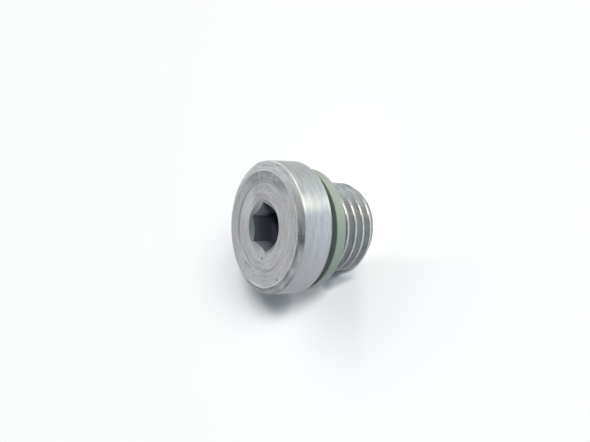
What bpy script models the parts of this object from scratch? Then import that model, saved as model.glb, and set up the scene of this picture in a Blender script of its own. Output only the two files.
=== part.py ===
# Oil drain plug: a turned steel screw plug with a hexagon socket, and the loose elastomer ring on its neck.
# It stands on its thread end at z = 0, with the axis along +Z and the head's face at the top.
import math

import bmesh
import bpy
from mathutils import Matrix, Vector

MM = 0.001

# Overall lengths along the axis
PLUG_LENGTH = 16.4 * MM
HEAD_THICKNESS = 4.9 * MM

# Head, whose rim opens slightly toward its back
HEAD_FRONT_RADIUS = 9.5 * MM
HEAD_BACK_RADIUS = 9.7 * MM
RIM_CHAMFER_WIDTH = 0.94 * MM
RIM_CHAMFER_DEPTH = 0.55 * MM
BACK_EDGE_RADIUS = 0.2 * MM
FACE_RECESS_RADIUS = 6.3 * MM
FACE_RECESS_DEPTH = 0.18 * MM
FACE_DISH_ANGLE = math.radians(4)
SEAL_RECESS_RADIUS = 9.2 * MM
SEAL_RECESS_DEPTH = 1.0 * MM

# Hexagon socket for a 6 mm key, with two corners on the X axis
HEX_ACROSS_FLATS = 6.3 * MM
HEX_DEPTH = 6.0 * MM
COUNTERSINK_RADIUS = 3.9 * MM
COUNTERSINK_ANGLE = math.radians(110)
DRILL_RADIUS = 2.9 * MM
DRILL_DEPTH = 6.8 * MM
DRILL_POINT_ANGLE = math.radians(118)

# Neck between the head and the thread
NECK_RADIUS = 5.85 * MM
NECK_FILLET = 0.4 * MM
THREAD_START = 8.25 * MM
THREAD_START_ANGLE = math.radians(60)

# Metric thread M14 x 1.5, right hand
THREAD_RADIUS = 7.0 * MM
THREAD_PITCH = 1.5 * MM
THREAD_DEPTH = 0.6134 * THREAD_PITCH
THREAD_CREST_WIDTH = THREAD_PITCH / 8
THREAD_HALF_ANGLE = math.radians(30)
CREST_HEIGHT_AT_FRONT = 1.55 * MM
END_CHAMFER = 1.05 * MM
THREAD_TURNS = 7
TURNS_BELOW = 2

# Seal ring, which has slid down to the thread and a little to one side
RING_OUTER_RADIUS = 9.05 * MM
RING_INNER_RADIUS = 6.4 * MM
RING_THICKNESS = 1.65 * MM
RING_BOTTOM = 8.35 * MM
RING_EDGE_RADIUS = 0.2 * MM
RING_SIDE_SHIFT = 0.25 * MM

TURN_STEPS = 72
ROUND_STEPS = 3
MERGE_DISTANCE = 0.001 * MM
CUT_MARGIN = 0.5 * MM


def clear_scene():
    for thing in list(bpy.data.objects):
        bpy.data.objects.remove(thing)


def finish(name, colour, metallic, roughness):
    material = bpy.data.materials.new(name)
    material.use_nodes = True
    surface = material.node_tree.nodes["Principled BSDF"]
    surface.inputs["Base Color"].default_value = (*colour, 1)
    surface.inputs["Metallic"].default_value = metallic
    surface.inputs["Roughness"].default_value = roughness
    material.diffuse_color = (*colour, 1)
    return material


def arc(centre, radius, start, end):
    # Points of a round corner in (radius, height), from one angle to the other
    angles = [start + (end - start) * step / ROUND_STEPS for step in range(ROUND_STEPS + 1)]
    return [(centre[0] + radius * math.cos(angle), centre[1] + radius * math.sin(angle)) for angle in angles]


def turn(form, profile, closed=False):
    # A profile of (radius, height) points is turned a full circle about Z
    points = [form.verts.new((radius, 0, height)) for radius, height in profile]
    followers = points[1:] + points[:1] if closed else points[1:]
    edges = [form.edges.new(pair) for pair in zip(points, followers)]
    bmesh.ops.spin(
        form, geom=points + edges, cent=(0, 0, 0), axis=(0, 0, 1),
        angle=math.tau, steps=TURN_STEPS, use_merge=True,
    )


def join_points(form):
    bmesh.ops.remove_doubles(form, verts=form.verts, dist=MERGE_DISTANCE)
    bmesh.ops.recalc_face_normals(form, faces=form.faces)


def add_object(name, form, material=None):
    mesh = bpy.data.meshes.new(name)
    form.to_mesh(mesh)
    form.free()
    thing = bpy.data.objects.new(name, mesh)
    bpy.context.collection.objects.link(thing)
    if material:
        mesh.materials.append(material)
        mesh.shade_smooth()
        mesh.set_sharp_from_angle(angle=math.radians(25))
    return thing


def cut(body, cutter):
    cutter.hide_render = True
    cutter.display_type = "WIRE"
    boolean = body.modifiers.new("cut " + cutter.name, "BOOLEAN")
    boolean.object = cutter
    boolean.operation = "DIFFERENCE"
    boolean.solver = "EXACT"


def face_height(radius):
    # The recessed middle of the face falls a little toward the socket
    fall = (FACE_RECESS_RADIUS - radius) * math.tan(FACE_DISH_ANGLE)
    return PLUG_LENGTH - FACE_RECESS_DEPTH - fall


def turn_head_and_neck(form):
    # From the middle of the head's face round to the foot of the thread
    top = PLUG_LENGTH
    head_back = top - HEAD_THICKNESS
    recess_floor = head_back + SEAL_RECESS_DEPTH
    profile = [
        (0, face_height(0)),
        (FACE_RECESS_RADIUS, face_height(FACE_RECESS_RADIUS)),
        (FACE_RECESS_RADIUS + FACE_RECESS_DEPTH, top),
        (HEAD_FRONT_RADIUS - RIM_CHAMFER_WIDTH, top),
        (HEAD_FRONT_RADIUS, top - RIM_CHAMFER_DEPTH),
    ]
    back_corner = (HEAD_BACK_RADIUS - BACK_EDGE_RADIUS, head_back + BACK_EDGE_RADIUS)
    profile += arc(back_corner, BACK_EDGE_RADIUS, 0, -math.pi / 2)
    profile += [
        (SEAL_RECESS_RADIUS, head_back),
        (SEAL_RECESS_RADIUS, recess_floor),
    ]
    neck_corner = (NECK_RADIUS + NECK_FILLET, recess_floor - NECK_FILLET)
    profile += arc(neck_corner, NECK_FILLET, math.pi / 2, math.pi)
    profile.append((NECK_RADIUS, THREAD_START))
    turn(form, profile)


def thread_section():
    # One pitch of the thread, upwards from the top corner of a root to that of the next, about the crest's middle
    crest = THREAD_CREST_WIDTH / 2
    flank = THREAD_DEPTH * math.tan(THREAD_HALF_ANGLE)
    root_radius = THREAD_RADIUS - THREAD_DEPTH
    middle_radius = THREAD_RADIUS - THREAD_DEPTH / 2
    return [
        (root_radius, -crest - flank),
        (middle_radius, -crest - flank / 2),
        (THREAD_RADIUS, -crest),
        (THREAD_RADIUS, crest),
        (middle_radius, crest + flank / 2),
        (root_radius, crest + flank),
        (root_radius, THREAD_PITCH - crest - flank),
    ]


def wind_thread(form):
    # The section is wound up the helix, past both ends, and then held inside the end chamfer and the thread's start
    start_height = CREST_HEIGHT_AT_FRONT - TURNS_BELOW * THREAD_PITCH
    points = [form.verts.new((0, -radius, start_height + height)) for radius, height in thread_section()]
    edges = [form.edges.new(pair) for pair in zip(points, points[1:])]
    bmesh.ops.spin(
        form, geom=points + edges, cent=(0, 0, 0), axis=(0, 0, 1), angle=THREAD_TURNS * math.tau,
        steps=THREAD_TURNS * TURN_STEPS, dvec=Vector((0, 0, THREAD_PITCH / TURN_STEPS)),
    )
    for point in form.verts:
        hold_inside_ends(point)


def hold_inside_ends(point):
    height = min(max(point.co.z, 0), THREAD_START)
    chamfer = THREAD_RADIUS - END_CHAMFER + height
    start = NECK_RADIUS + (THREAD_START - height) * math.tan(THREAD_START_ANGLE)
    around = point.co.xy
    around = around * min(around.length, chamfer, start) / around.length
    point.co = (*around, height)


def plug_blank():
    form = bmesh.new()
    wind_thread(form)
    turn_head_and_neck(form)
    turn(form, [(THREAD_RADIUS - END_CHAMFER, 0), (0, 0)])
    join_points(form)
    return form


def hexagon_cutter():
    form = bmesh.new()
    height = HEX_DEPTH + CUT_MARGIN
    middle = PLUG_LENGTH - HEX_DEPTH + height / 2
    corner_radius = HEX_ACROSS_FLATS / 2 / math.cos(math.pi / 6)
    bmesh.ops.create_cone(
        form, cap_ends=True, segments=6, radius1=corner_radius, radius2=corner_radius, depth=height,
        matrix=Matrix.Translation((0, 0, middle)) @ Matrix.Rotation(math.pi / 6, 4, "Z"),
    )
    corner = max(form.verts, key=lambda vertex: vertex.co.x).co
    bmesh.ops.rotate(form, verts=form.verts, matrix=Matrix.Rotation(-math.atan2(corner.y, corner.x), 3, "Z"))
    return form


def drill_cutter():
    # Countersink, drilled hole and drill point in one turned cutter
    mouth = face_height(COUNTERSINK_RADIUS)
    spread = math.tan(COUNTERSINK_ANGLE / 2)
    hole_floor = PLUG_LENGTH - DRILL_DEPTH
    point_depth = DRILL_RADIUS / math.tan(DRILL_POINT_ANGLE / 2)
    form = bmesh.new()
    turn(form, [
        (0, mouth + CUT_MARGIN),
        (COUNTERSINK_RADIUS + CUT_MARGIN * spread, mouth + CUT_MARGIN),
        (DRILL_RADIUS, mouth - (COUNTERSINK_RADIUS - DRILL_RADIUS) / spread),
        (DRILL_RADIUS, hole_floor),
        (0, hole_floor - point_depth),
    ])
    join_points(form)
    half_step = Matrix.Rotation(math.pi / TURN_STEPS, 3, "Z")
    bmesh.ops.rotate(form, verts=form.verts, matrix=half_step)
    return form


def make_plug():
    steel = finish("steel", (0.42, 0.43, 0.45), 1.0, 0.35)
    body = add_object("plug_body", plug_blank(), steel)
    cut(body, add_object("hexagon_cutter", hexagon_cutter()))
    cut(body, add_object("drill_cutter", drill_cutter()))


def make_ring():
    green = finish("green elastomer", (0.3, 0.4, 0.32), 0.0, 0.55)
    edge = RING_EDGE_RADIUS
    inner = RING_INNER_RADIUS + edge
    outer = RING_OUTER_RADIUS - edge
    low = RING_BOTTOM + edge
    high = RING_BOTTOM + RING_THICKNESS - edge
    profile = arc((outer, high), edge, math.pi / 2, 0)
    profile += arc((outer, low), edge, 0, -math.pi / 2)
    profile += arc((inner, low), edge, -math.pi / 2, -math.pi)
    profile += arc((inner, high), edge, math.pi, math.pi / 2)
    form = bmesh.new()
    turn(form, profile, closed=True)
    join_points(form)
    ring = add_object("seal_ring", form, green)
    ring.location.x = -RING_SIDE_SHIFT


clear_scene()
make_plug()
make_ring()
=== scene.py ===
import math

import bmesh
import bpy
from mathutils import Matrix, Vector


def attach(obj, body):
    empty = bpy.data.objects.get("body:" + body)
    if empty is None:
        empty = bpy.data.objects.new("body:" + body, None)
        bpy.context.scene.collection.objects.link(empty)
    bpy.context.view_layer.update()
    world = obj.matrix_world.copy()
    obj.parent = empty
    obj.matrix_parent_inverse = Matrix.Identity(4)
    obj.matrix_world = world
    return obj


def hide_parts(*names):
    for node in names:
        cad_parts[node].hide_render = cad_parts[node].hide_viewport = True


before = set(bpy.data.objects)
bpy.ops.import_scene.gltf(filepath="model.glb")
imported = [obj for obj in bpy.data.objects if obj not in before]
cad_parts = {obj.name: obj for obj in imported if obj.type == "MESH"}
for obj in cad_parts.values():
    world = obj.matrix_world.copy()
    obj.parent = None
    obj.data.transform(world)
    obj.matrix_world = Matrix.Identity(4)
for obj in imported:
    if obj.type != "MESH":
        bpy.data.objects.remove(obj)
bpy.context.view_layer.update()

mm = 0.001  # lengths below are in millimetres until a function multiplies them by this
turnSteps = 192
sharpAngle = 30
mergeDistance = 0.0005


# Forms

def wirePath(form, points, closed=False):
    # A profile in the XZ plane from (radius, height) pairs, in millimetres
    corners = [form.verts.new((radius * mm, 0, height * mm)) for radius, height in points]
    ends = corners[1:] + corners[:1] if closed else corners[1:]
    for pair in zip(corners, ends):
        form.edges.new(pair)
    return corners


def roundCorners(form, corners, radius, segments):
    bmesh.ops.bevel(
        form, geom=corners, offset=radius * mm, offset_type="OFFSET", affect="VERTICES",
        segments=segments, profile=0.5, material=-1, clamp_overlap=True,
    )


def turnAll(form):
    bmesh.ops.spin(
        form, geom=form.verts[:] + form.edges[:], cent=(0, 0, 0), axis=(0, 0, 1),
        angle=math.tau, steps=turnSteps, use_merge=True,
    )


def closeForm(form):
    bmesh.ops.remove_doubles(form, verts=form.verts, dist=mergeDistance * mm)
    bmesh.ops.recalc_face_normals(form, faces=form.faces)


def shadeSmooth(mesh):
    mesh.shade_smooth()
    mesh.set_sharp_from_angle(angle=math.radians(sharpAngle))


def makePiece(name, form):
    mesh = bpy.data.meshes.new(name)
    form.to_mesh(mesh)
    form.free()
    shadeSmooth(mesh)
    piece = bpy.data.objects.new(name, mesh)
    bpy.context.scene.collection.objects.link(piece)
    return piece


# Shader maths

class Wire:
    # A node's output that can be used in a sum

    def __init__(self, finish, socket):
        self.finish = finish
        self.socket = socket

    def sibling(self, name):
        return Wire(self.finish, self.socket.node.outputs[name])

    def maths(self, operation, *values):
        return self.finish.add("Math", {"operation": operation}, list(values))

    def __add__(self, other):
        return self.maths("ADD", self, other)

    __radd__ = __add__

    def __mul__(self, other):
        return self.maths("MULTIPLY", self, other)

    __rmul__ = __mul__

    def __sub__(self, other):
        return self.maths("SUBTRACT", self, other)

    def __rsub__(self, other):
        return self.maths("SUBTRACT", other, self)

    def atLeast(self, other):
        return self.maths("MAXIMUM", self, other)

    def fade(self, start, end):
        # 0 at start and 1 at end, clamped outside
        return self.finish.add("MapRange", {"interpolation_type": "SMOOTHSTEP", "clamp": True}, {
            "Value": self, "From Min": start, "From Max": end, "To Min": 0.0, "To Max": 1.0,
        })

    def ramp(self, *stops):
        return self.finish.add("ValToRGB", {"stops": stops}, {"Fac": self})


class Finish:
    # A material and the nodes behind it

    def __init__(self, name, world=None):
        self.block = world or bpy.data.materials.new(name)
        self.block.use_nodes = True
        self.tree = self.block.node_tree
        self.tree.nodes.clear()

    def add(self, kind, settings=None, sockets=None, output=0):
        node = self.tree.nodes.new("ShaderNode" + kind)
        for name, value in (settings or {}).items():
            if name == "stops":
                self.setStops(node.color_ramp, value)
            else:
                setattr(node, name, value)
        pairs = enumerate(sockets) if isinstance(sockets, list) else (sockets or {}).items()
        for name, value in pairs:
            if isinstance(value, Wire):
                self.tree.links.new(value.socket, node.inputs[name])
            else:
                node.inputs[name].default_value = value
        return Wire(self, node.outputs[output]) if node.outputs else None

    def setStops(self, ramp, stops):
        ramp.elements[0].position = stops[0][0]
        ramp.elements[0].color = (*stops[0][1], 1)
        ramp.elements[1].position = stops[-1][0]
        ramp.elements[1].color = (*stops[-1][1], 1)
        for place, colour in stops[1:-1]:
            ramp.elements.new(place).color = (*colour, 1)

    def blend(self, factor, first, second):
        return self.add("Mix", {"data_type": "RGBA"}, {0: factor, 6: first, 7: second}, output=2)

    def tint(self, colour, factor):
        settings = {"data_type": "RGBA", "blend_type": "MULTIPLY"}
        return self.add("Mix", settings, {0: 1.0, 6: colour, 7: factor}, output=2)

    def noise(self, place, scale, detail, roughness=0.5):
        return self.add("TexNoise", {"noise_dimensions": "3D"}, {
            "Vector": place, "Scale": scale, "Detail": detail, "Roughness": roughness,
        })

    def ways(self):
        # The place on the object in millimetres, also by its parts, with reach as the distance from the axis
        place = self.add("TexCoord", output=3)
        place = self.add("VectorMath", {"operation": "SCALE"}, {"Vector": place, "Scale": 1 / mm})
        x = self.add("SeparateXYZ", None, [place])
        y = x.sibling("Y")
        reach = x.maths("SQRT", x * x + y * y)
        return dict(place=place, x=x, y=y, height=x.sibling("Z"), reach=reach)

    def surface(self, shader):
        self.add("OutputMaterial", None, {"Surface": shader})
        return self.block


def area(ways, limits):
    # 1 inside the limits of each way named: two stops go from none to full, and four go from none to full and back
    fades = [ways[name].fade(stops[0], stops[1]) for name, stops in limits.items()]
    fades += [ways[name].fade(stops[3], stops[2]) for name, stops in limits.items() if len(stops) == 4]
    return math.prod(fades)


def weighed(ways, parts, rows):
    # Each row names a part, an amount, and the limits within which the part gets it
    return [parts[name] * amount * area(ways, limits) for name, amount, limits in rows]


def uneven(patterns, amounts):
    # A sum of patterns that is about 0 on average
    return sum(amount * (patterns[name] - 0.5) for name, amount in amounts.items())


# Plug body

plugSize = dict(
    length=16.4, headThickness=4.9, frontRadius=9.5, backRadius=9.7,
    rimChamferWidth=0.94, rimChamferDepth=0.55,
    recessRadius=6.3, recessDepth=0.18, dishAngle=4,
    grooves=((5.15, 0.24, 0.02), (8.26, 0.18, 0.05)),  # radius, width and depth of the turned lines on the face
    sealRecessRadius=9.2, sealRecessDepth=1.0,
    neckRadius=5.85, neckFillet=0.4,
    threadRadius=7.0, pitch=1.5, threadStart=8.25, startAngle=60, flankAngle=30,
    depthPerPitch=0.6134, threadTurns=7, turnsBelow=2, flankCuts=8,
    crestAtFront=1.55, crestWidth=0.4, crestRounding=0.12, endChamfer=1.05,
    acrossFlats=6.3, hexDepth=6.0, countersinkRadius=3.9, countersinkAngle=110,
    drillRadius=2.9, drillDepth=6.8, pointAngle=118, cutMargin=1,
    edgeRadius=0.1,
)


def slope(angle):
    return math.tan(math.radians(angle))


def faceHeight(size, radius):
    # The recessed middle of the face falls a little toward the socket
    fall = (size["recessRadius"] - radius) * slope(size["dishAngle"])
    return size["length"] - size["recessDepth"] - max(fall, 0)


def grooveCorners(groove, size):
    radius, width, depth = groove
    corners = [(radius - width / 2, 0), (radius, depth), (radius + width / 2, 0)]
    if radius > size["recessRadius"]:
        return [(reach, size["length"] - fall) for reach, fall in corners]
    return [(reach, faceHeight(size, reach) - fall) for reach, fall in corners]


def turnHead(form, size):
    top = size["length"]
    back = top - size["headThickness"]
    floor = back + size["sealRecessDepth"]
    innerGroove, outerGroove = size["grooves"]
    middle = [(0, faceHeight(size, 0)), *grooveCorners(innerGroove, size)]
    recessEdges = [
        (size["recessRadius"], top - size["recessDepth"]),
        (size["recessRadius"] + size["recessDepth"], top),
    ]
    band = grooveCorners(outerGroove, size)
    rimEdges = [
        (size["frontRadius"] - size["rimChamferWidth"], top),
        (size["frontRadius"], top - size["rimChamferDepth"]),
        (size["backRadius"], back),
        (size["sealRecessRadius"], back),
        (size["sealRecessRadius"], floor),
    ]
    neck = [(size["neckRadius"], floor), (size["neckRadius"], size["threadStart"])]
    corners = wirePath(form, middle + recessEdges + band + rimEdges + neck)
    recessStart = len(middle)
    rimStart = recessStart + len(recessEdges) + len(band)
    soft = corners[recessStart:recessStart + len(recessEdges)] + corners[rimStart:rimStart + len(rimEdges)]
    roundCorners(form, [corners[-2]], size["neckFillet"], 6)
    roundCorners(form, soft, size["edgeRadius"], 4)
    turnAll(form)


def windThread(form, size):
    # One pitch of the profile goes up the helix past both ends, and is then held inside the end chamfers
    pitch, radius = size["pitch"], size["threadRadius"]
    depth = size["depthPerPitch"] * pitch
    crest = size["crestWidth"] / 2
    flank = depth * slope(size["flankAngle"])
    root = radius - depth
    corners = wirePath(form, [
        (root, -crest - flank), (radius, -crest), (radius, crest), (root, crest + flank), (root, pitch - crest - flank),
    ])
    roundCorners(form, corners[1:3], size["crestRounding"], 3)
    flanks = [edge for edge in form.edges if edge.calc_length() > flank * mm]
    bmesh.ops.subdivide_edges(form, edges=flanks, cuts=size["flankCuts"])
    low = size["crestAtFront"] - size["turnsBelow"] * pitch
    bmesh.ops.translate(form, verts=form.verts, vec=(0, 0, low * mm))
    bmesh.ops.rotate(form, verts=form.verts, matrix=Matrix.Rotation(-math.pi / 2, 3, "Z"))
    bmesh.ops.spin(
        form, geom=form.verts[:] + form.edges[:], cent=(0, 0, 0), axis=(0, 0, 1),
        angle=size["threadTurns"] * math.tau, steps=size["threadTurns"] * turnSteps,
        dvec=(0, 0, pitch / turnSteps * mm),
    )
    for vertex in form.verts:
        height = min(max(vertex.co.z / mm, 0), size["threadStart"])
        chamfer = radius - size["endChamfer"] + height
        start = size["neckRadius"] + (size["threadStart"] - height) * slope(size["startAngle"])
        reach = vertex.co.xy.length / mm
        around = vertex.co.xy * min(reach, chamfer, start) / reach
        vertex.co = (*around, height * mm)


def hexagonCutter(size):
    form = bmesh.new()
    corner = size["acrossFlats"] / 2 / math.cos(math.pi / 6) * mm
    height = (size["hexDepth"] + size["cutMargin"]) * mm
    middle = (size["length"] + size["cutMargin"]) * mm - height / 2
    bmesh.ops.create_cone(
        form, cap_ends=True, segments=6, radius1=corner, radius2=corner, depth=height,
        matrix=Matrix.Translation((0, 0, middle)) @ Matrix.Rotation(math.pi / 2, 4, "Z"),
    )
    return makePiece("hexagonCutter", form)


def drillCutter(size):
    # Countersink, drilled hole and drill point
    form = bmesh.new()
    mouth = faceHeight(size, size["countersinkRadius"])
    spread = slope(size["countersinkAngle"] / 2)
    floor = size["length"] - size["drillDepth"]
    wirePath(form, [
        (0, mouth + size["cutMargin"]),
        (size["countersinkRadius"] + size["cutMargin"] * spread, mouth + size["cutMargin"]),
        (size["drillRadius"], mouth - (size["countersinkRadius"] - size["drillRadius"]) / spread),
        (size["drillRadius"], floor),
        (0, floor - size["drillRadius"] / slope(size["pointAngle"] / 2)),
    ])
    turnAll(form)
    closeForm(form)
    bmesh.ops.rotate(form, verts=form.verts, matrix=Matrix.Rotation(math.pi / turnSteps, 3, "Z"))
    return makePiece("drillCutter", form)


def cutAway(piece, cutters):
    for cutter in cutters:
        cut = piece.modifiers.new(cutter.name, "BOOLEAN")
        cut.object = cutter
        cut.operation = "DIFFERENCE"
        cut.solver = "EXACT"
    graph = bpy.context.evaluated_depsgraph_get()
    mesh = bpy.data.meshes.new_from_object(piece.evaluated_get(graph))
    piece.modifiers.clear()
    piece.data = mesh
    for cutter in cutters:
        bpy.data.objects.remove(cutter)
    shadeSmooth(mesh)


def makePlug(size):
    form = bmesh.new()
    windThread(form, size)
    head = bmesh.new()
    turnHead(head, size)
    end = bmesh.new()
    wirePath(end, [(size["threadRadius"] - size["endChamfer"], 0), (0, 0)])
    turnAll(end)
    for other in (head, end):
        mesh = bpy.data.meshes.new("joined")
        other.to_mesh(mesh)
        other.free()
        form.from_mesh(mesh)
        bpy.data.meshes.remove(mesh)
    closeForm(form)
    plug = makePiece("plugBody", form)
    cutAway(plug, [hexagonCutter(size), drillCutter(size)])
    return plug


# Seal ring

ringSize = dict(outer=9.05, inner=6.4, bottom=8.35, thickness=1.65, edgeRadius=0.3, shift=0.25)


def makeRing(size):
    form = bmesh.new()
    low, high = size["bottom"], size["bottom"] + size["thickness"]
    corners = wirePath(form, [
        (size["inner"], low), (size["outer"], low), (size["outer"], high), (size["inner"], high),
    ], closed=True)
    roundCorners(form, corners, size["edgeRadius"], 5)
    turnAll(form)
    closeForm(form)
    bmesh.ops.translate(form, verts=form.verts, vec=(-size["shift"] * mm, 0, 0))
    return makePiece("sealRing", form)


# Steel

plugParts = dict(
    face=dict(height=(15.95, 16.1)),
    step=dict(height=(15.95, 16.1), reach=(6.2, 6.3, 6.5, 6.6)),  # at the recess's edge
    band=dict(height=(15.95, 16.1), reach=(6.3, 6.5, 8.5, 8.7)),  # between the recess and the chamfer
    stained=dict(height=(15.95, 16.1), reach=(6.4, 6.7, 7.9, 8.2)),
    ridge=dict(height=(15.95, 16.1), reach=(7.85, 8.05, 8.5, 8.7)),
    chamfer=dict(height=(15.8, 15.9), reach=(8.55, 8.65)),
    rimEdge=dict(height=(15.66, 15.72, 15.95, 16.01), reach=(9.32, 9.38, 9.52, 9.58)),
    backEdge=dict(height=(11.74, 11.64), reach=(9.5, 9.6)),
    threaded=dict(height=(8.4, 8.2)),
    crest=dict(height=(8.4, 8.2), reach=(6.84, 6.94)),
    countersunk=dict(height=(8.0, 9.0), reach=(3.95, 3.85)),
    hollow=dict(height=(8.0, 9.0), reach=(3.75, 3.65)),
)

steelLook = dict(
    faceColours=((0.0, (0.455, 0.485, 0.49)), (1.0, (0.49, 0.49, 0.505))),
    # Painted reflection and shade: the rim is bluer where it faces the viewer and darkest at its lower side, from its
    # lower side to its upper one
    rimReflectionColours=((0.0, (0.30, 0.31, 0.33)), (0.12, (0.47, 0.485, 0.52)), (0.25, (0.52, 0.54, 0.575)),
                (0.42, (0.59, 0.64, 0.69)), (0.62, (0.59, 0.65, 0.69)), (0.82, (0.50, 0.53, 0.52)),
                (1.0, (0.47, 0.475, 0.47))),
    highlightColour=(0.80, 0.81, 0.81, 1), stainColour=(0.15, 0.175, 0.175, 1), sinkShadeColour=(0.31, 0.37, 0.37, 1),
    # Painted shade down the socket, from its mouth to the end of the hexagon
    socketShadeColours=((0.0, (0.055, 0.068, 0.072)), (0.35, (0.024, 0.029, 0.039)), (0.6, (0.025, 0.028, 0.04)),
                   (1.0, (0.10, 0.10, 0.14))),
    litWallColour=(0.42, 0.44, 0.48, 1), litCornerColour=(0.52, 0.52, 0.65, 1), conePlace=(3.12, 3.2),
    # Amounts of each pattern
    faceNoise=dict(fine=1.0, broad=0.4, patches=0.35, grain=0.6),
    rimNoise=dict(fine=0.45, broad=0.1, patches=0.15, grain=0.3), rimLines=0.55,
    chamferNoise=dict(fine=1.5, grain=0.8), roughNoise=dict(fine=0.14, patches=0.12),
    relief=dict(fine=1.0, broad=0.9, patches=0.8, grain=0.3),
    # Painted light and shade added to parts of the steel, standing in for its reflections
    paintedShades=(
        ("band", 0.03, {}),
        ("ridge", 0.15, {}),
        ("ridge", 0.12, dict(x=(-2.0, 7.0))),
        ("step", -0.25, dict(x=(-4.5, -5.8))),
        ("face", 0.08, dict(y=(0.0, -5.0))),
        ("face", -0.07, dict(x=(1.5, 4.5), reach=(6.3, 6.0))),
        ("face", 0.15, dict(x=(-4.5, -1.5), y=(0.8, 3.4), reach=(6.3, 6.1))),
        ("face", 0.2, dict(x=(0.0, 4.0), y=(0.8, 3.4), reach=(6.3, 6.1))),
        ("chamfer", 0.36, dict(x=(-2.2, -4.8), reach=(8.7, 9.0))),
        ("chamfer", -0.24, dict(x=(-3.2, -1.6))),
        ("chamfer", 0.12, dict(x=(5.0, 8.0))),
        ("chamfer", -0.4, dict(x=(-6.8, -7.8), y=(-0.6, 1.2))),
        ("chamfer", -0.24, dict(x=(-6.8, -7.8), y=(-4.0, -1.5))),
        ("chamfer", 0.25, dict(x=(5.5, 7.5), y=(-1.8, -0.4))),
        ("chamfer", 0.4, dict(x=(5.5, 7.5), y=(0.5, 2.5))),
        ("chamfer", 0.4, dict(x=(-7.4, -6.4, -3.4, -2.4), y=(-4.5, -5.5), reach=(8.7, 9.0))),
        ("rimEdge", -0.35, dict(x=(-6.5, -9.3))),
        ("backEdge", -0.6, dict(x=(2.0, -0.5))),
        ("threaded", 0.12, {}),
        ("threaded", -0.2, dict(x=(1.2, 2.4, 4.4, 5.6))),
        ("threaded", -0.3, dict(x=(-4.0, -6.5))),
        ("threaded", 0.2, dict(x=(3.4, 4.6))),
        ("threaded", -0.34, dict(x=(3.4, 4.6), reach=(6.6, 6.9))),
        ("crest", -0.15, dict(x=(-1.0, -4.0))),
    ),
    # A painted light patch on the band's lower right
    paintedLightTone=0.03, paintedLightPlace=(2.0, 6.0),
    # Painted highlights along edges, the strongest of which counts
    highlightEdges=(
        ("backEdge", 0.7, dict(x=(-1.0, 2.0))),
        ("step", 0.35, dict(y=(-1.0, 4.0))),
        ("crest", 0.4, dict(x=(0.0, 1.0, 3.0, 4.0))),
    ),
    shinePlace=(4.0, 7.5), stainPlace=(4.6, 6.6), stain=0.7,
    pits=((-4.43, 0.5, 16.09), (-4.92, 4.44, 16.4), (-7.3, -3.45, 16.4)), pitReach=(0.32, 0.1), pit=0.9,
    faceRoughness=0.46, rimRoughness=0.42, faceBrushing=0.4, rimBrushing=0.85, lineHeight=0.012,
)


def steelPatterns(finish, ways):
    # Turning lines are thin across the cut and long round the axis
    def lines(across, along, detail):
        cut = (ways["reach"] + ways["height"]) * across
        vector = finish.add("CombineXYZ", None, [cut, ways["x"] * along, ways["y"] * along])
        return finish.noise(vector, 1.0, detail, 0.6)

    return dict(
        fine=lines(4.2, 0.4, 2.0),
        broad=lines(1.5, 0.12, 1.0),
        cloud=finish.noise(ways["place"], 0.35, 3.0),
        patches=finish.noise(ways["place"], 1.3, 3.0, 0.6),
        grain=finish.noise(ways["place"], 4.0, 3.0, 0.7),
    )


def wornShare(finish, ways, parts, patterns, look):
    # The stained arc of the band, speckle on the chamfer and on the upper band, and the pits
    x, y = ways["x"], ways["y"]
    fine, patches, grain = patterns["fine"], patterns["patches"], patterns["grain"]
    stain = 0.1 + 0.5 * patches.fade(0.35, 0.6) + 0.35 * fine.fade(0.3, 0.6) + 0.7 * (grain - 0.5)
    worn = parts["stained"] * (x * 0.95 - y * 0.25).fade(*look["stainPlace"]) * stain
    worn = worn.atLeast(parts["chamfer"] * grain.fade(0.42, 0.62) * 0.4)
    worn = worn.atLeast(parts["band"] * x.fade(2.5, 5.5) * grain.fade(0.5, 0.62) * 0.45)
    for pit in look["pits"]:
        away = finish.add("VectorMath", {"operation": "DISTANCE"}, [ways["place"], pit], output=1)
        worn = worn.atLeast(away.fade(*look["pitReach"]) * look["pit"])
    return worn


def steelTone(ways, parts, patterns, look, onRim):
    # Brightness of the steel, about 1 on average, with a painted light patch on the band's lower right and the painted
    # light and shade of the table's rows
    paintedLightPatch = parts["band"] * (ways["x"] * -0.8 - ways["y"] * 0.5).fade(*look["paintedLightPlace"])
    tone = 1 + uneven(patterns, look["rimNoise" if onRim else "faceNoise"]) + look["paintedLightTone"] * paintedLightPatch
    if onRim:
        tone = tone + look["rimLines"] * ways["x"].fade(-6.0, 3.0) * (patterns["fine"] - 0.5)
    tone = tone + parts["chamfer"] * uneven(patterns, look["chamferNoise"])
    # Painted light and shade from the table of rows
    return tone + sum(weighed(ways, parts, look["paintedShades"]))


def highlightShare(ways, parts, look):
    # Painted highlights: the rim's front corner shines on its upper right, and the listed edges shine too
    x, y = ways["x"], ways["y"]
    shine = parts["chamfer"] * (0.4 - 0.3 * x.fade(7.4, 8.4))
    shine = shine.atLeast(parts["rimEdge"] * (0.12 + 0.75 * x.fade(1.0, 5.5)))
    highlight = (x * 0.7 - y * 0.7).fade(*look["shinePlace"]) * shine
    for edge in weighed(ways, parts, look["highlightEdges"]):
        highlight = highlight.atLeast(edge)
    return highlight


def sinkShadeShare(ways, parts):
    # Painted shade: the countersink is darker on its left and along its lower side
    x, y = ways["x"], ways["y"]
    left = y.fade(0.5, 2.5) * (0.78 - 0.5 * x.fade(0.8, 2.6) - 0.25 * x.fade(-0.8, -2.6))
    return parts["countersunk"] * left.atLeast(0.45 * x.fade(-1.5, -3.0))


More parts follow.
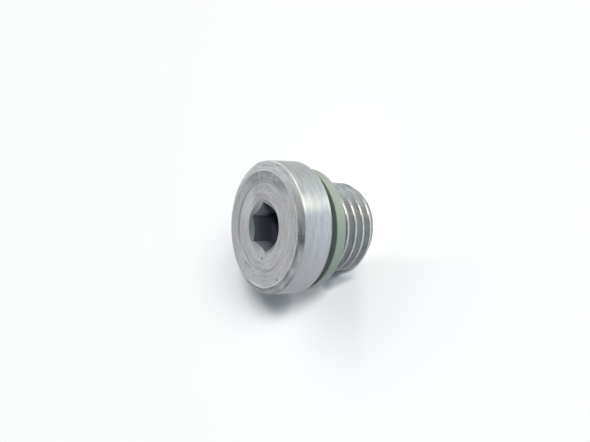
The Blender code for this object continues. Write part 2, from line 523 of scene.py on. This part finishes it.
def socketLightAndShade(finish, ways, size, look):
    # Painted shade deep down, with painted light on the upper and lower walls and in one corner
    x, y = ways["x"], ways["y"]
    depth = (size["length"] - ways["height"]) * (1 / size["hexDepth"])
    lit = (0.62 * x.fade(1.85, 2.0) + 0.22 * x.fade(-1.85, -2.0)) * depth.fade(0.75, 0.25)
    colour = finish.blend(lit, depth.ramp(*look["socketShadeColours"]), look["litWallColour"])
    corner = x.fade(1.85, 2.1) * y.fade(2.8, 1.8) * depth.fade(0.25, 0.5)
    return finish.blend(corner, colour, look["litCornerColour"])


def steelFinish(name, size, look, onRim):
    finish = Finish(name)
    ways = finish.ways()
    patterns = steelPatterns(finish, ways)
    parts = {part: area(ways, limits) for part, limits in plugParts.items()}
    worn = wornShare(finish, ways, parts, patterns, look)
    tone = steelTone(ways, parts, patterns, look, onRim)
    if onRim:
        # Painted reflection and shade on the rim, by its height in the picture
        steel = ((ways["x"] + size["backRadius"]) * (0.5 / size["backRadius"])).ramp(*look["rimReflectionColours"])
    else:
        steel = (patterns["cloud"].fade(0.3, 0.7) * (1 - 0.8 * parts["threaded"])).ramp(*look["faceColours"])
    steel = finish.tint(steel, finish.add("CombineColor", None, [tone, tone, tone]))
    steel = finish.blend(worn * look["stain"], steel, look["stainColour"])
    steel = finish.blend(highlightShare(ways, parts, look), steel, look["highlightColour"])
    steel = finish.blend(sinkShadeShare(ways, parts), steel, look["sinkShadeColour"])
    # Below the countersink the socket takes its painted light and shade
    pastCone = (size["length"] - ways["height"] + 0.7 * ways["reach"]).fade(*look["conePlace"])
    inSocket = parts["hollow"] * pastCone
    steel = finish.blend(inSocket, steel, socketLightAndShade(finish, ways, size, look))
    rough = look["rimRoughness" if onRim else "faceRoughness"] + uneven(patterns, look["roughNoise"])
    rough = rough + 0.12 * worn - 0.2 * parts["crest"] * ways["x"].fade(3.8, 3.1)
    bump = finish.add("Bump", None, {
        "Strength": 0.8, "Distance": look["lineHeight"] * mm, "Height": uneven(patterns, look["relief"]),
    })
    return finish.surface(finish.add("BsdfPrincipled", None, {
        "Base Color": steel, "Metallic": 1 - 0.7 * inSocket, "Roughness": rough, "Normal": bump,
        "Anisotropic": look["rimBrushing" if onRim else "faceBrushing"], "Anisotropic Rotation": 0.25,
    }))


def dressPlug(plug, size, look):
    # The rim is brushed round its axis; the rest is turned and duller
    plug.data.materials.clear()
    plug.data.materials.append(steelFinish("turned steel", size, look, onRim=False))
    plug.data.materials.append(steelFinish("brushed rim", size, look, onRim=True))
    back, front = size["length"] - size["headThickness"], size["length"] - size["rimChamferDepth"]
    inner = size["sealRecessRadius"] + size["edgeRadius"]
    for face in plug.data.polygons:
        onRim = back < face.center.z / mm < front and face.center.xy.length / mm > inner
        face.material_index = 1 if onRim else 0


# Elastomer

elastomerLook = dict(
    colour=(0.13, 0.165, 0.145, 1), litPaleColour=(0.203, 0.232, 0.187, 1), greyColour=(0.25, 0.27, 0.28, 1),
    gapShadeColour=(0.062, 0.078, 0.07, 1), upperGapShadeColour=(0.115, 0.13, 0.11, 1),  # painted shade on the side that faces the head, lighter toward its upper side
    gapShadeDepth=(0.09, 0.01), roughness=0.5, grainHeight=0.01,
)


def elastomerFinish(size, look):
    finish = Finish("green elastomer")
    ways = finish.ways()
    x = ways["x"]
    cloud = finish.noise(ways["place"], 0.5, 3.0)
    grain = finish.noise(ways["place"], 9.0, 3.0)
    top = size["bottom"] + size["thickness"]
    outer, inner = look["gapShadeDepth"]
    gapShade = ways["height"].fade(top - outer, top - inner)
    # Painted light: the ring is paler toward its upper side, with uneven tone from the cloud, and greyer toward its
    # lower side
    colour = finish.blend(0.85 * x.fade(-3.0, 6.0) + 0.8 * (cloud - 0.45), look["colour"], look["litPaleColour"])
    colour = finish.blend(x.fade(-6.5, -9.0), colour, look["greyColour"])
    # Painted shade on the side that faces the head, lighter toward its upper side
    colour = finish.blend(gapShade, colour, finish.blend(x.fade(1.0, 8.0), look["gapShadeColour"], look["upperGapShadeColour"]))
    bump = finish.add("Bump", None, {"Strength": 0.4, "Distance": look["grainHeight"] * mm, "Height": grain})
    return finish.surface(finish.add("BsdfPrincipled", None, {
        "Base Color": colour, "Roughness": look["roughness"] + 0.12 * (grain - 0.5), "Normal": bump,
        "Specular IOR Level": 0.4,
    }))


# Table

floorLook = dict(
    halfWidth=3,  # metres
    colour=(0.965, 0.965, 0.965, 1), shadeColour=(0.27, 0.31, 0.35, 1), shadeSide=(-4.0, -6.5),
    # Painted shadow at the foot of the thread
    contactArea=dict(y=(-4.2, 0.2, 5.0, 9.0), reach=(14.0, 11.0)), contactEdge=(-9.8, -7.9),
    contact=0.45, outerContact=0.4, outerReach=(7.6, 8.8),
    # Painted haze of shade round it, which is denser between the thread and the head's shadow
    hazeArea=dict(reach=(30.0, 8.0)), haze=0.12, denseArea=dict(y=(-5.0, 0.0, 13.0, 19.0)), dense=1.1,
    # Painted shadow in the middle of the head's shadow
    deepPlace=(-12.8, 20.8), deepSize=(4.0, 6.0), deepFade=(1.2, 0.0), deep=0.5,
    glow=(0.972, 0.982, 0.985, 1), glowReach=(32.0, 90.0),
)


# Painted shadow on the table, laid over the cast shadow
def floorShade(ways, look):
    x, y = ways["x"], ways["y"]
    contact = area(ways, look["contactArea"]) * (x + 0.35 * y).fade(*look["contactEdge"])
    contact = contact * (look["contact"] + look["outerContact"] * ways["reach"].fade(*look["outerReach"]))
    haze = area(ways, look["hazeArea"]) * look["haze"] * (1 + look["dense"] * area(ways, look["denseArea"]))
    across, along = [
        (way - middle) * (1 / size) for way, middle, size in zip((x, y), look["deepPlace"], look["deepSize"])
    ]
    deep = (across * across + along * along).fade(*look["deepFade"]) * look["deep"]
    return (contact.atLeast(haze) * x.fade(*look["shadeSide"])).atLeast(deep)


def floorFinish(look):
    # Near the plug the table shows its shadow, darkened further with painted shadow, and further off it is the even
    # white of the background
    finish = Finish("white table")
    ways = finish.ways()
    direct = finish.add("LightPath")
    seen = direct.atLeast(direct.sibling("Is Glossy Ray"))
    colour = finish.blend(floorShade(ways, look), look["colour"], look["shadeColour"])
    matt = finish.add("BsdfDiffuse", None, {"Color": colour})
    glow = finish.add("Emission", None, {"Color": look["glow"], "Strength": 1.0})
    far = ways["reach"].fade(*look["glowReach"])
    return finish.surface(finish.add("MixShader", None, [seen * far, matt, glow]))


def makeFloor(look):
    form = bmesh.new()
    bmesh.ops.create_grid(form, x_segments=1, y_segments=1, size=look["halfWidth"])
    floor = makePiece("table", form)
    floor.data.materials.append(floorFinish(look))


# Light and camera

white = (1, 1, 1)
lamps = dict(
    key=dict(azimuth=-73, elevation=33.4, spread=9, strength=2.62, colour=(1, 0.985, 0.96), gloss=False, matt=True),
    middle=dict(azimuth=-71, elevation=30, spread=12, strength=0.92, colour=white, gloss=False, matt=True),
    low=dict(azimuth=-77, elevation=19, spread=16, strength=2.1, colour=white, gloss=False, matt=True),
    fill=dict(azimuth=-20, elevation=52, spread=50, strength=0.36, colour=white, gloss=False, matt=True),
    shine=dict(azimuth=-56, elevation=5, spread=22, strength=1.17, colour=(1, 0.86, 0.67), gloss=True, matt=False),
    edge=dict(azimuth=-14, elevation=32, spread=26, strength=0.7, colour=white, gloss=True, matt=False),
    top=dict(azimuth=46, elevation=24, spread=30, strength=0.25, colour=white, gloss=True, matt=False),
)
lampDistance = 0.2  # metres


def direction(azimuth, elevation):
    turn, rise = math.radians(azimuth), math.radians(elevation)
    return Vector((math.cos(turn) * math.cos(rise), math.sin(turn) * math.cos(rise), math.sin(rise)))


def makeLamps():
    for name, lamp in lamps.items():
        light = bpy.data.lights.new(name, "SUN")
        light.angle = math.radians(lamp["spread"])
        light.energy = lamp["strength"]
        light.color = lamp["colour"]
        holder = bpy.data.objects.new(name, light)
        away = direction(lamp["azimuth"], lamp["elevation"])
        holder.location = away * lampDistance
        holder.visible_glossy, holder.visible_diffuse = lamp["gloss"], lamp["matt"]
        holder.rotation_euler = away.to_track_quat("Z", "Y").to_euler()
        bpy.context.scene.collection.objects.link(holder)


roomLook = dict(
    brightWay=(0.0, 0.8, 0.6),  # the wall that the head's face shows
    stops=((0.0, (0.30, 0.31, 0.325)), (0.5, (0.33, 0.345, 0.365)), (0.65, (0.44, 0.45, 0.46)),
           (0.82, (0.62, 0.62, 0.62)), (1.0, (0.95, 0.935, 0.94))),
    mattTint=(0.225, 0.275, 0.315, 1),  # of the room's light, on what doesn't reflect it
)


def makeWorld(look):
    world = bpy.data.worlds.new("studio")
    bpy.context.scene.world = world
    finish = Finish("studio", world)
    direct = finish.add("LightPath")
    way = finish.add("TexCoord", output=0)
    forward = finish.add("VectorMath", {"operation": "DOT_PRODUCT"}, [way, look["brightWay"]], output=1)
    room = forward.ramp(*look["stops"])
    colour = finish.blend(direct.sibling("Is Glossy Ray"), finish.tint(room, look["mattTint"]), room)
    colour = finish.blend(direct, colour, (*white, 1))
    background = finish.add("Background", None, {"Color": colour, "Strength": 1.0})
    finish.add("OutputWorld", None, {"Surface": background})


camera = dict(
    focal=467.5, width=590, height=442,  # of the photograph, in its pixels
    axisX=264.27, axisY=227.2,  # where the middle of the rim's front edge lies in it
    distance=66.5, azimuth=-94, elevation=36.91, turn=0.15, sensorWidth=36,
)


def makeCamera():
    lens = bpy.data.cameras.new("camera")
    lens.sensor_width = camera["sensorWidth"]
    lens.lens = lens.sensor_width * camera["focal"] / camera["width"]
    lens.clip_start, lens.clip_end = 1 * mm, 10
    back = direction(camera["azimuth"], camera["elevation"])
    up = Vector((0, 0, 1)).cross(back).normalized()  # the plug's axis lies across the picture
    right = up.cross(back)
    turn = Matrix.Rotation(math.radians(camera["turn"]), 3, back)
    axes = turn @ Matrix((right, up, back)).transposed()
    perPixel = camera["distance"] / camera["focal"] * mm
    across = (camera["axisX"] - camera["width"] / 2) * perPixel
    down = (camera["axisY"] - camera["height"] / 2) * perPixel
    rim = Vector((0, 0, (plugSize["length"] - plugSize["rimChamferDepth"]) * mm))
    holder = bpy.data.objects.new("camera", lens)
    place = rim - axes @ Vector((across, -down, -camera["distance"] * mm))
    holder.matrix_world = Matrix.Translation(place) @ axes.to_4x4()
    bpy.context.scene.collection.objects.link(holder)
    bpy.context.scene.camera = holder


plug = makePlug(plugSize)
dressPlug(plug, plugSize, steelLook)
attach(plug, "root")
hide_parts("plug_body")
print("plug body made")

ring = makeRing(ringSize)
ring.data.materials.append(elastomerFinish(ringSize, elastomerLook))
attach(ring, "root")
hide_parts("seal_ring")
print("seal ring made")

makeFloor(floorLook)
makeLamps()
makeWorld(roomLook)
makeCamera()
bpy.context.scene.view_settings.view_transform = "Standard"
print("table, lamps, world and camera made")

bpy.context.view_layer.update()
